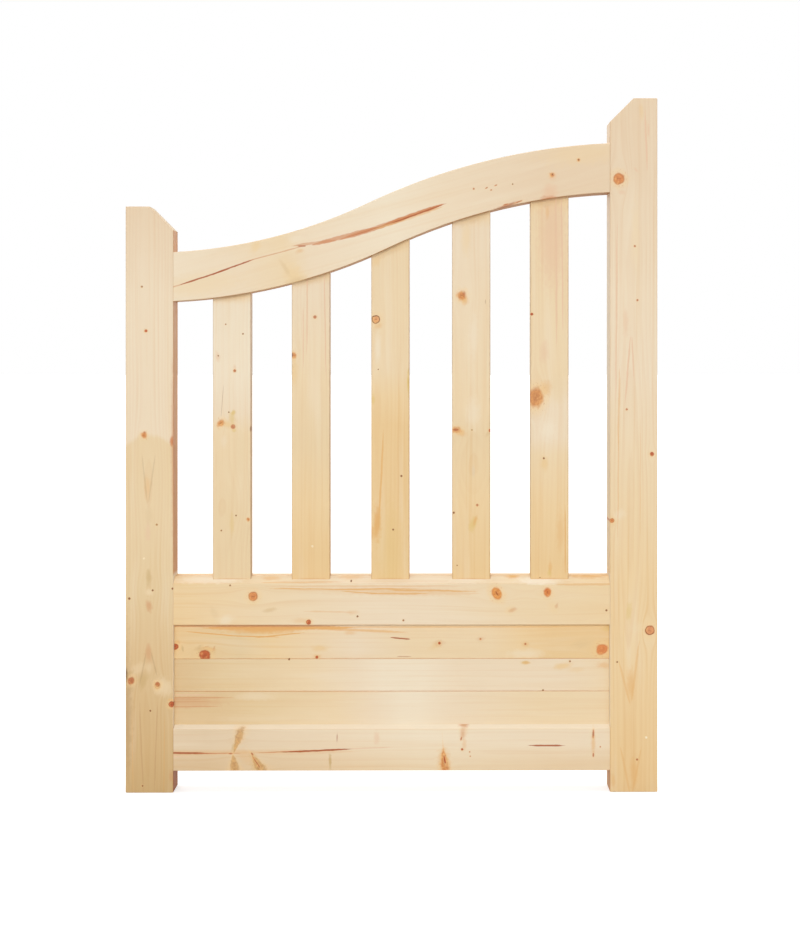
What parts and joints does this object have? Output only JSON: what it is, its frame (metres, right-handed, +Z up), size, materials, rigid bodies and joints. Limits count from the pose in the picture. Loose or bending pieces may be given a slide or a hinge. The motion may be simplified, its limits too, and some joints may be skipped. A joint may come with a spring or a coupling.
{
  "type": "wooden pedestrian gate",
  "caption": "Framed softwood garden gate leaf with a swan-neck curved top rail, open upright slats above and a boarded panel below.",
  "frame": {"origin": "on the ground, under the middle of the gate's width and thickness", "axes": "+Z up, +X from the latch stile (short) to the hanging stile (tall), -Y out of the front, where the rails are bevelled"},
  "size_m": [0.915, 0.045, 1.195],
  "materials": {
    "frame_softwood": "planed, bare",
    "slat_softwood": "planed, bare",
    "board_softwood": "planed, bare",
    "wedge_softwood": "sawn, trimmed flush",
    "brad_steel": "bright wire"
  },
  "bodies": {
    "root": {"latch_stile": "frame_softwood", "hanging_stile": "frame_softwood", "top_rail": "frame_softwood", "middle_rail": "frame_softwood", "bottom_rail": "frame_softwood", "slat_1": "slat_softwood", "slat_2": "slat_softwood", "slat_3": "slat_softwood", "slat_4": "slat_softwood", "slat_5": "slat_softwood", "panel_board_bottom": "board_softwood", "panel_board_middle": "board_softwood", "panel_board_top": "board_softwood", "wedges_bottom_latch": "wedge_softwood", "wedges_bottom_hanging": "wedge_softwood", "wedges_middle_latch": "wedge_softwood", "wedges_middle_hanging": "wedge_softwood", "wedges_top_latch": "wedge_softwood", "wedges_top_hanging": "wedge_softwood", "slat_brads_top": "brad_steel", "slat_brads_middle": "brad_steel"}
  },
  "joints": []
}
